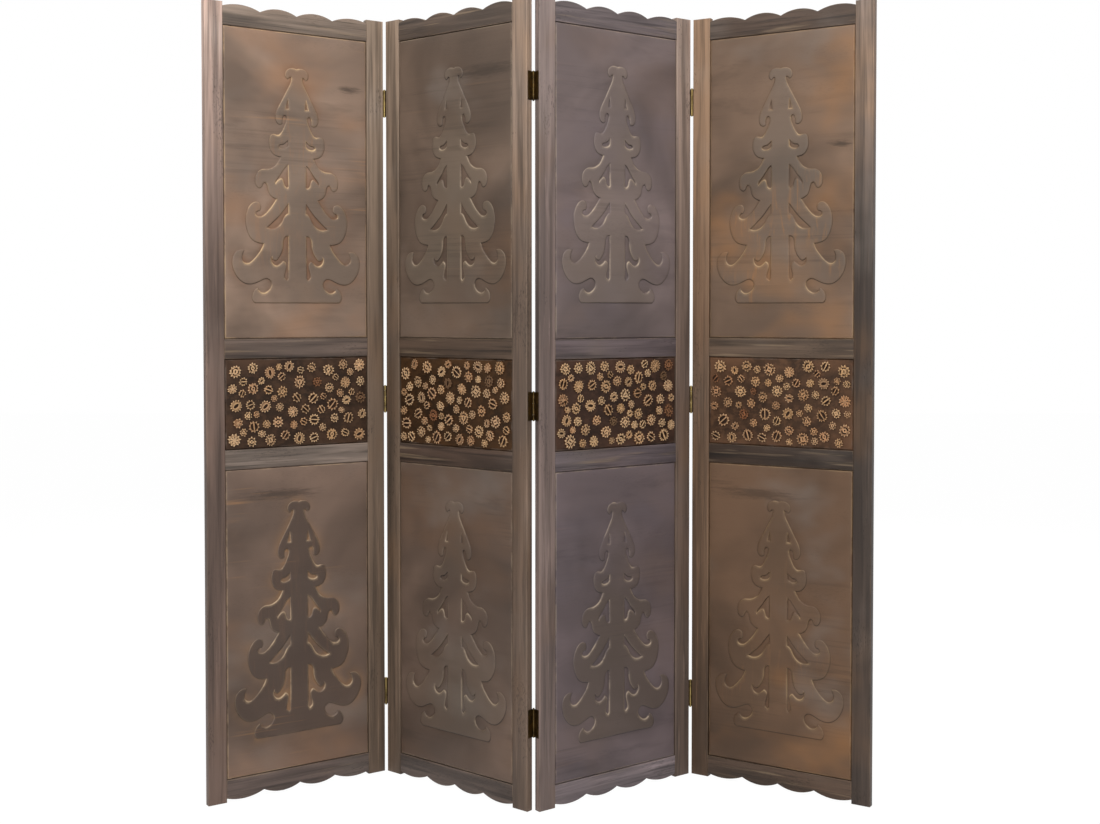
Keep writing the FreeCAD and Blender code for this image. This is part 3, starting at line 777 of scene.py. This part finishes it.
def outline_distance(points, loops):
    """Distance to the nearest outline, negative inside the tree, and two values of the wall there.

    They are how far it looks up, and how hollow the outline is: 1 in holes and bays, 0 round outer curls.
    """
    starts = np.concatenate(loops)
    hollows = np.concatenate([hollow_stretches(loop) for loop in loops])
    along = np.concatenate([np.roll(loop, -1, 0) for loop in loops]) - starts
    square = np.maximum((along ** 2).sum(1), TINY ** 2)
    looks_up = -along[:, 0] / np.sqrt(square)
    rise = np.where(along[:, 1] == 0, TINY, along[:, 1])
    blocks = []
    for first in range(0, len(points), BLOCK):
        block = points[first:first + BLOCK]
        x = block[:, :1] - starts[:, 0]
        z = block[:, 1:] - starts[:, 1]
        place = np.clip((x * along[:, 0] + z * along[:, 1]) / square, 0, 1)
        gap = (x - place * along[:, 0]) ** 2 + (z - place * along[:, 1]) ** 2
        nearest = gap.argmin(1)
        crossed = ((z < 0) != (z - along[:, 1] < 0)) & (x < z * along[:, 0] / rise)
        inside = crossed.sum(1) % 2 == 1
        distance = np.sqrt(gap[np.arange(len(block)), nearest])
        blocks.append((np.where(inside, -distance, distance), looks_up[nearest], hollows[nearest]))
    return [np.concatenate(values) for values in zip(*blocks)]


def spread(low, high, spacing, rng):
    """Points of a jittered triangular grid over a rectangle."""
    points = []
    rows = int((high[1] - low[1]) / (spacing * ROW_RISE))
    columns = int((high[0] - low[0]) / spacing)
    for row in range(rows + 1):
        for column in range(columns + 1):
            x = low[0] + (column + 0.5 * (row % 2) + rng.uniform(-GRID_SHAKE, GRID_SHAKE)) * spacing
            z = low[1] + (row * ROW_RISE + rng.uniform(-GRID_SHAKE, GRID_SHAKE)) * spacing
            points.append((x, z))
    points = np.array(points)
    clear = np.minimum(points - low, high - points).min(1) > GRID_CLEAR * spacing
    return points[clear]


def carved_plan(loops, border):
    """Triangles over the field: rings along the outline, and points that thin out away from it."""
    rng = random.Random(PLAN_SEED)
    low, high = np.min(border, 0), np.max(border, 0)
    rings = [border]
    for loop in loops:
        for reach in RING_REACHES:
            rings.append(offset_ring(loop, -reach))
    points = []
    edges = []
    for ring in rings:
        start = len(points)
        points += [tuple(p) for p in ring]
        edges += [(start + i, start + (i + 1) % len(ring)) for i in range(len(ring))]
    for spacing, near, far in GRIDS:
        grid = spread(low, high, spacing, rng)
        distance = np.abs(outline_distance(grid, loops)[0])
        points += [tuple(p) for p in grid[(distance > near) & (distance <= far)]]
    plan = delaunay_2d_cdt([Vector(p) for p in points], edges, [], 0, PLAN_WELD)
    return np.array([tuple(p) for p in plan[0]]), [tuple(face) for face in plan[2]]


def smooth_step(value):
    value = np.clip(value, 0, 1)
    return value * value * (3 - 2 * value)


def swell(points, scale, layer):
    """Smooth noise over a panel, with so many features to the metre."""
    return np.array([noise.noise(Vector((x * scale, layer, z * scale))) for x, z in points])


def carved_surface(points, distance, upward, hollow, tree_face, seed):
    """Depth behind the leaf's front face, and the marks that the finish follows, with a painted highlight on
    up-facing walls and painted shade on down-facing ones.
    """
    lit = 0.5 + 0.5 * upward
    width = CARVED_WALL + CARVED_SLOPE * lit ** 2 * hollow
    wall = smooth_step(distance / width)
    fade = np.exp(-(np.clip(distance - width, 0, None) / SCOOP_FADE) ** 1.2)
    ripple = swell(points, RIPPLE_SCALE, seed * RIPPLE_LAYER)
    top = tree_face + CARVED_EDGE * np.exp(-np.clip(-distance, 0, None) / EDGE_FADE)
    sink = RIM_DEPTH + (HOLE_DEPTH - RIM_DEPTH) * hollow
    slow = swell(points, SWELL_SCALE, seed * SWELL_LAYER)
    ground = FIELD_FACE + sink * fade * (0.85 + 0.5 * slow)
    depth = top + (ground - top) * wall + RIPPLE_DEPTH * ripple * fade * wall
    # The rubbed edge band is also a painted highlight: strongest where the wall faces up, toward the light,
    # and in holes and bays
    rub_and_highlight = smooth_step((lit - 0.5) / 0.45) * (0.15 + 0.85 * hollow)
    rub_and_highlight += 0.45 * hollow ** 4 * (1 - np.abs(upward)) + 0.18
    marks = {
        "edge": np.exp(-((distance - 0.35 * width) / (0.4 * width + RUB_AND_HIGHLIGHT_REACH)) ** 2) * np.clip(rub_and_highlight, 0, 1),
        # The dark band at the foot of the wall is painted shade, strongest where the wall faces down, away
        # from the light
        "groove": np.exp(-((distance - width) / GROOVE_WIDTH) ** 2) * (1 - 0.9 * lit),
        "scoop": fade * wall * (0.3 + 0.7 * hollow),
        "tree": 1 - smooth_step(distance / TREE_BLUR + 0.5),
    }
    return depth, marks


def panel_border(leaf, node):
    low, high = leaf.span(node)
    inset = TONGUE_REACH + FIELD_MARGIN
    return rectangle(low[::2] + inset, high[::2] - inset, FIELD_STEP)


def add_tongue(build, leaf, node):
    low, high = leaf.span(node)
    middle = leaf.thickness / 2
    outline = rectangle(low[::2], high[::2], math.inf)
    eased_slab(build, outline, middle - TONGUE_THICKNESS / 2, middle + TONGUE_THICKNESS / 2, TONGUE_EASE)


class TreePlan:
    """The triangles of one carved panel's face, which serve all of them, and their distances to the tree."""

    def __init__(self, leaf, node):
        loops = [refine(thin(loop, LOOP_STEP)) for loop in face_loops(leaf, node)]
        self.foot = leaf.span(node)[0][2]
        self.border = panel_border(leaf, node)
        self.points, self.faces = carved_plan(loops, offset_ring(self.border, FIELD_EASE))
        self.outline = outline_distance(self.points, loops)
        low, high = np.min(self.border, 0), np.max(self.border, 0)
        margin = np.minimum(self.points - low, high - self.points).min(1)
        self.hold = smooth_step((margin - FIELD_EASE) / CALM_REACH)


def build_carved_panel(leaf, name, plan):
    node = "leaf%d_%s_panel" % (leaf.number, name)
    low = leaf.span(node)[0]
    rise = low[2] - plan.foot
    seed = PANEL_SEED + leaf.number * 2 + (name == "upper")
    build = Builder()
    border = [(x, z + rise) for x, z in plan.border]
    last = eased_sides(build, border, FIELD_FACE, leaf.thickness - FIELD_BACK, FIELD_EASE, FIELD_WEAR)[1]
    build.faces.append(tuple(reversed(last)))
    depth, marks = carved_surface(plan.points, *plan.outline, low[1], seed)
    depth = FIELD_FACE + (depth - FIELD_FACE) * plan.hold
    start = len(build.points)
    for i, (x, z) in enumerate(plan.points):
        build.add((x, depth[i], z + rise), **{mark: values[i] for mark, values in marks.items()})
    build.faces += [tuple(start + i for i in face) for face in plan.faces]
    add_tongue(build, leaf, node)
    look = {**PANEL_LOOK, **LEAF_LOOK[leaf.number], **CARVED_LOOK[leaf.number][name]}
    material = wood("%s_wood" % node, PANEL_TONES[leaf.number][name], False, seed, look)
    add_piece("panel_%d_%s" % (leaf.number, name), leaf, node, build.mesh(node), material)


def build_middle_panel(leaf):
    node = "leaf%d_middle_panel" % leaf.number
    build = Builder()
    eased_slab(build, panel_border(leaf, node), MIDDLE_FACE, leaf.thickness - FIELD_BACK, FIELD_EASE)
    add_tongue(build, leaf, node)
    tone = GROUND_TONES[leaf.number]
    material = dark_ground("%s_stain" % node, tone, leaf.number, panel_border(leaf, node))
    add_piece("panel_%d_middle" % leaf.number, leaf, node, build.mesh(node), material)


# Cone slices

SCALE_PITCH = 1.2 * MM
FEWEST_SCALES = 7
MOST_SCALES = 15
# Of the slice's radius: the rim between its thorns, their tips, the collar inside, darkened with painted
# shade, and its narrow way
VALLEYS = (0.76, 0.85)
TIPS = (0.97, 1.14)
COLLAR = (0.71, 0.74)
SQUASH = (0.9, 1.0)
# Of the step between two thorns: how far a tip leans aside, and how far its shoulders stand from it
THORN_LEAN = 0.16
SHOULDER_REACH = 0.19
VALLEY_EVERY = 4
# Slope of a slice's face, and the depths and insets of its rim, its collar and its hollows
SLICE_LEAN = 0.06
FACE_DROP = (0.1 * MM, 1.4 * MM)
SLICE_EASE = 0.4 * MM
COLLAR_DROP = 0.4 * MM
MOUTH_DROP = 0.15 * MM
WALL_INSET = 0.25 * MM
WALL_DROP = 0.6 * MM
FLOOR_INSET = 0.3 * MM
FLOOR_RISE = 0.2 * MM
DULL_SHARE = 0.05


def islands(leaf, node):
    """Centre and radius of each separate solid of a node, across and up the leaf."""
    points = leaf.local(node)
    keys = [tuple(np.round(p, 5)) for p in points]
    parent = {key: key for key in keys}

    def root(key):
        while parent[key] != key:
            parent[key] = parent[parent[key]]
            key = parent[key]
        return key

    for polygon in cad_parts[node].data.polygons:
        corners = [keys[i] for i in polygon.vertices]
        for other in corners[1:]:
            parent[root(other)] = root(corners[0])
    groups = {}
    for key in parent:
        groups.setdefault(root(key), []).append(key)
    found = []
    for members in groups.values():
        spots = np.array(members)[:, (0, 2)]
        centre = (spots.min(0) + spots.max(0)) / 2
        found.append((centre[0], centre[1], np.linalg.norm(spots - centre, axis=1).max()))
    return sorted(found)


def slice_windows(rng):
    """Hollows of a slice of radius 1: halves beside a bar, arcs round a core, an eye, crescents or cracks."""
    kind = rng.choices(("halves", "arcs", "eye", "crescents", "cracks"), (32, 32, 12, 16, 8))[0]

    def ragged(loop, amount):
        return [(a + rng.uniform(-amount, amount), b + rng.uniform(-amount, amount)) for a, b in loop]

    def oval(reach_a, reach_b):
        angles = [2 * math.pi * i / 10 for i in range(10)]
        return ragged([(reach_a * math.cos(t), reach_b * math.sin(t)) for t in angles], 0.02)

    def arcs(total, share, inner, outer):
        sweep = share * 2 * math.pi / total
        loops = []
        for i in range(total):
            angles = [2 * math.pi * i / total + sweep * (part / 5 - 0.5) for part in range(6)]
            loop = [(outer * math.cos(t), outer * math.sin(t)) for t in angles]
            loop += [(inner * math.cos(t), inner * math.sin(t)) for t in reversed(angles)]
            loops.append(ragged(loop, 0.035))
        return loops

    if kind == "halves":
        bar = rng.uniform(0.06, 0.12)
        angles = [math.pi * i / 8 for i in range(9)]
        moon = [(0.66 * math.cos(t), bar + (0.66 - bar) * math.sin(t)) for t in angles]
        return [ragged(moon, 0.025), ragged([(-a, -b) for a, b in moon], 0.025)]
    if kind == "arcs":
        return arcs(rng.randint(3, 5), 0.8, 0.43, 0.66) + [oval(0.27, 0.1)]
    if kind == "eye":
        return [oval(0.52, 0.27)]
    if kind == "crescents":
        return arcs(2, 0.74, 0.36, 0.64) + [oval(0.16, 0.16)]
    return arcs(rng.randint(5, 7), 0.3, 0.24, 0.64)


def within(point, polygon):
    inside = False
    for first, second in zip(polygon, polygon[1:] + polygon[:1]):
        if (first[1] > point[1]) != (second[1] > point[1]):
            part = (point[1] - first[1]) / (second[1] - first[1])
            if point[0] < first[0] + part * (second[0] - first[0]):
                inside = not inside
    return inside


def slice_rings(radius, rng):
    """A ragged ring of thorny scales round a slice of radius 1, and the collar that they stand on."""
    scales = round(radius / SCALE_PITCH) + rng.randint(-1, 2)
    scales = min(MOST_SCALES, max(FEWEST_SCALES, scales))

    def point(level, place):
        angle = 2 * math.pi * place / scales
        return level * math.cos(angle), level * math.sin(angle)

    rim = []
    collar = []
    for scale in range(scales):
        valley = rng.uniform(*VALLEYS)
        tip = rng.uniform(*TIPS)
        lean = rng.uniform(-THORN_LEAN, THORN_LEAN)
        shoulder = 0.68 * valley + 0.32 * tip
        rim.append(point(valley, scale - 0.5))
        rim.append(point(shoulder, scale + lean - SHOULDER_REACH))
        rim.append(point(tip, scale + lean))
        rim.append(point(shoulder, scale + lean + SHOULDER_REACH))
        for part in (-0.5, 0.0):
            collar.append(point(rng.uniform(*COLLAR), scale + part))
    return rim, collar


def add_slice(build, x, z, radius, front, back, shine, rng):
    """One thorny slice with an eased rim, a sunk collar and deep hollows, marked for painted shade in its
    recesses and a painted highlight on its edges.
    """
    turn = rng.uniform(0, 2 * math.pi)
    squash = rng.uniform(*SQUASH)
    dull = rng.random() < DULL_SHARE
    shine *= 0.15 if dull else rng.uniform(0.5, 1.0)
    tints = dict(tone=0.1 if dull else rng.uniform(0.25, 0.9), blush=rng.uniform(0, 0.7) ** 1.5)
    lean = (rng.uniform(-SLICE_LEAN, SLICE_LEAN), rng.uniform(-SLICE_LEAN, SLICE_LEAN))
    face = front + rng.uniform(*FACE_DROP)

    def placed(loop):
        points = []
        for a, b in loop:
            across = radius * a * math.cos(turn) - radius * squash * b * math.sin(turn)
            up = radius * a * math.sin(turn) + radius * squash * b * math.cos(turn)
            points.append((x + across, z + up))
        return points

    def ring(loop, depth, **marks):
        depths = [max(front, depth + lean[0] * (px - x) + lean[1] * (pz - z)) for px, pz in loop]
        return [build.add((px, depth, pz), **marks, **tints) for (px, pz), depth in zip(loop, depths)]

    def foot(loop, depth, **marks):
        return [build.add((px, depth, pz), **marks, **tints) for px, pz in loop]

    rim, collar = slice_rings(radius, rng)
    outline = placed(rim)
    top = ring(offset_ring(outline, SLICE_EASE), face, edge=shine)
    # Each notch between thorns gets painted shade in place of most of the painted highlight
    for valley in top[::VALLEY_EVERY]:
        build.marks["edge"][valley] = 0.1 * shine
        build.marks["groove"][valley] = rng.uniform(0.4, 0.8)
    # The side gets a little painted highlight and painted shade, the foot more painted shade where it meets
    # the ground
    side = ring(outline, face + SLICE_EASE, edge=0.3 * shine, groove=0.2)
    base = foot(outline, back, groove=0.7)
    build.bridge(top, side)
    build.bridge(side, base)
    build.faces.append(tuple(reversed(base)))
    # The sunk collar gets painted shade
    sunk = ring(placed(collar), face + COLLAR_DROP, edge=0.3 * shine, groove=rng.uniform(0.2, 0.7))
    mouths = []
    # Each hollow: a painted highlight at its mouth, painted shade down its wall and on its floor
    for loop in map(placed, slice_windows(rng)):
        mouth = ring(loop, face + MOUTH_DROP, edge=0.5 * shine)
        wall = ring(offset_ring(loop, WALL_INSET), face + WALL_DROP, groove=0.95)
        floor = foot(offset_ring(loop, FLOOR_INSET), back - FLOOR_RISE, groove=1.0)
        build.bridge(mouth, wall)
        build.bridge(wall, floor)
        build.faces.append(tuple(floor))
        mouths.append(mouth)
    fill_face(build, [top, sunk], mouths)


def fill_face(build, rings, mouths):
    """Triangles inside the first ring, along the other rings, with the mouths left open."""
    loops = rings + mouths
    order = [i for loop in loops for i in loop]
    flat = [(build.points[i][0], build.points[i][2]) for i in order]
    edges = []
    borders = []
    for loop in loops:
        start = sum(len(border) for border in borders)
        borders.append(flat[start:start + len(loop)])
        edges += [(start + i, start + (i + 1) % len(loop)) for i in range(len(loop))]
    triangles, sources = delaunay_2d_cdt([Vector(p) for p in flat], edges, [], 0, TINY)[2:4]
    for triangle in triangles:
        if not all(sources[i] for i in triangle):
            continue
        corners = [sources[i][0] for i in triangle]
        middle = np.mean([flat[i] for i in corners], 0)
        open_here = any(within(middle, border) for border in borders[len(rings):])
        if within(middle, borders[0]) and not open_here:
            build.faces.append(tuple(order[i] for i in corners))


def build_slices(leaf, material):
    node = "leaf%d_slices" % leaf.number
    rng = random.Random(SLICE_SEED + leaf.number)
    low, high = leaf.span(node)
    build = Builder()
    for x, z, radius in islands(leaf, node):
        add_slice(build, x, z, radius, low[1], high[1], SLICE_SHINE[leaf.number], rng)
    add_piece("slices_%d" % leaf.number, leaf, node, build.mesh(node), material)


# Hinges keep their solids and get a finish and softened edges

def dress_hinges():
    """The middle joint's hinges are of a darker brass than those of the other two."""
    pale = brass("pale_brass", *PALE_BRASS, 1.0)
    antique = brass("antique_brass", *ANTIQUE_BRASS, 2.0)
    for joint in JOINTS:
        for part in ("left_plates", "right_plates", "left_screws", "right_screws", "pins"):
            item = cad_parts["hinge%d_%s" % (joint, part)]
            item.data.materials.clear()
            item.data.materials.append(antique if joint == 2 else pale)
            soften = item.modifiers.new("soften", "BEVEL")
            soften.width = HINGE_EASE
            soften.segments = 2
            soften.limit_method = "ANGLE"


# Stage, light and camera

FLOOR_REACH = 12.0
FLOOR_GLOW = 1.05
FLOOR_GLOW_SHARE = 0.92
WORLD_LIGHT = 0.32
# Name, place, aim, width, height and power
LIGHTS = (
    ("key", (0.0, -1.35, 3.0), (0, 0, 1.3), 3.0, 1.0, 38),
    ("fill", (-0.6, -4.2, 1.6), (0, 0, 0.8), 2.6, 2.0, 58),
    ("back", (0.4, 3.6, 2.4), (0, 0, 0.9), 2.6, 2.0, 60))


def background_rays(tree):
    """1 for rays that see the background, straight or in a reflection, and 0 for its light on the object."""
    path = tree.nodes.new("ShaderNodeLightPath")
    seen = path.outputs["Is Camera Ray"]
    for ray in ("Is Glossy Ray", "Is Transmission Ray"):
        either = tree.nodes.new("ShaderNodeMath")
        either.operation = "MAXIMUM"
        tree.links.new(seen, either.inputs[0])
        tree.links.new(path.outputs[ray], either.inputs[1])
        seen = either.outputs[0]
    return seen


def build_stage():
    mesh = bpy.data.meshes.new("floor")
    corners = [(FLOOR_REACH * x, FLOOR_REACH * y, 0) for x, y in ((-1, -1), (1, -1), (1, 1), (-1, 1))]
    mesh.from_pydata(corners, [], [(0, 1, 2, 3)])
    floor = stand("floor", mesh)
    shader = Shader("white_floor", specular=0.2)
    shader.feed(shader.surface, {"Base Color": (0.9, 0.9, 0.9, 1), "Roughness": 0.8})
    glow = shader.node("ShaderNodeEmission", dict(Strength=FLOOR_GLOW))
    share = shader.math("MULTIPLY", background_rays(shader.tree), FLOOR_GLOW_SHARE)
    blend = shader.node("ShaderNodeMixShader", {0: share, 1: shader.surface.outputs[0], 2: glow.outputs[0]})
    shader.link(blend.outputs[0], shader.tree.nodes["Material Output"].inputs["Surface"])
    mesh.materials.append(shader.material)


def build_world():
    world = bpy.data.worlds.new("studio")
    bpy.context.scene.world = world
    world.use_nodes = True
    tree = world.node_tree
    background = tree.nodes["Background"]
    level = tree.nodes.new("ShaderNodeMapRange")
    level.inputs["To Min"].default_value = WORLD_LIGHT
    tree.links.new(background_rays(tree), level.inputs["Value"])
    tree.links.new(level.outputs["Result"], background.inputs["Strength"])
    background.inputs["Color"].default_value = (1, 1, 1, 1)


def area_light(name, place, aim, width, height, power):
    lamp = bpy.data.lights.new(name, "AREA")
    lamp.shape = "RECTANGLE"
    lamp.size = width
    lamp.size_y = height
    lamp.energy = power
    item = stand(name, lamp)
    item.location = place
    item.rotation_euler = (Vector(aim) - Vector(place)).to_track_quat("-Z", "Y").to_euler()


# The camera that was found for the photograph, its focal length and lens shift in pixels of the photograph
SENSOR_WIDTH = 36
PHOTO_WIDTH = 1100
FOCAL_PIXELS = 1383
LENS_SHIFT = 64
CAMERA_PLACE = (0.0250, -3.1838, 1.107)
CAMERA_PITCH = math.radians(1.47)


def build_camera():
    data = bpy.data.cameras.new("camera")
    data.sensor_width = SENSOR_WIDTH
    data.lens = SENSOR_WIDTH * FOCAL_PIXELS / PHOTO_WIDTH
    data.shift_y = -LENS_SHIFT / PHOTO_WIDTH
    camera = stand("camera", data)
    camera.location = CAMERA_PLACE
    camera.rotation_euler = (math.pi / 2 - CAMERA_PITCH, 0, 0)
    bpy.context.scene.camera = camera


tree_plan = TreePlan(leaves[1], "leaf1_lower_panel")
slice_material = slice_wood("slice_wood")
for leaf in leaves.values():
    build_stile(leaf, "left")
    build_stile(leaf, "right")
    for rail in RAIL_SEEDS:
        build_rail(leaf, rail)
    build_carved_panel(leaf, "lower", tree_plan)
    build_carved_panel(leaf, "upper", tree_plan)
    build_middle_panel(leaf)
    build_slices(leaf, slice_material)
dress_hinges()
build_stage()
build_world()
for light in LIGHTS:
    area_light(*light)
build_camera()
bpy.context.scene.view_settings.view_transform = "Standard"
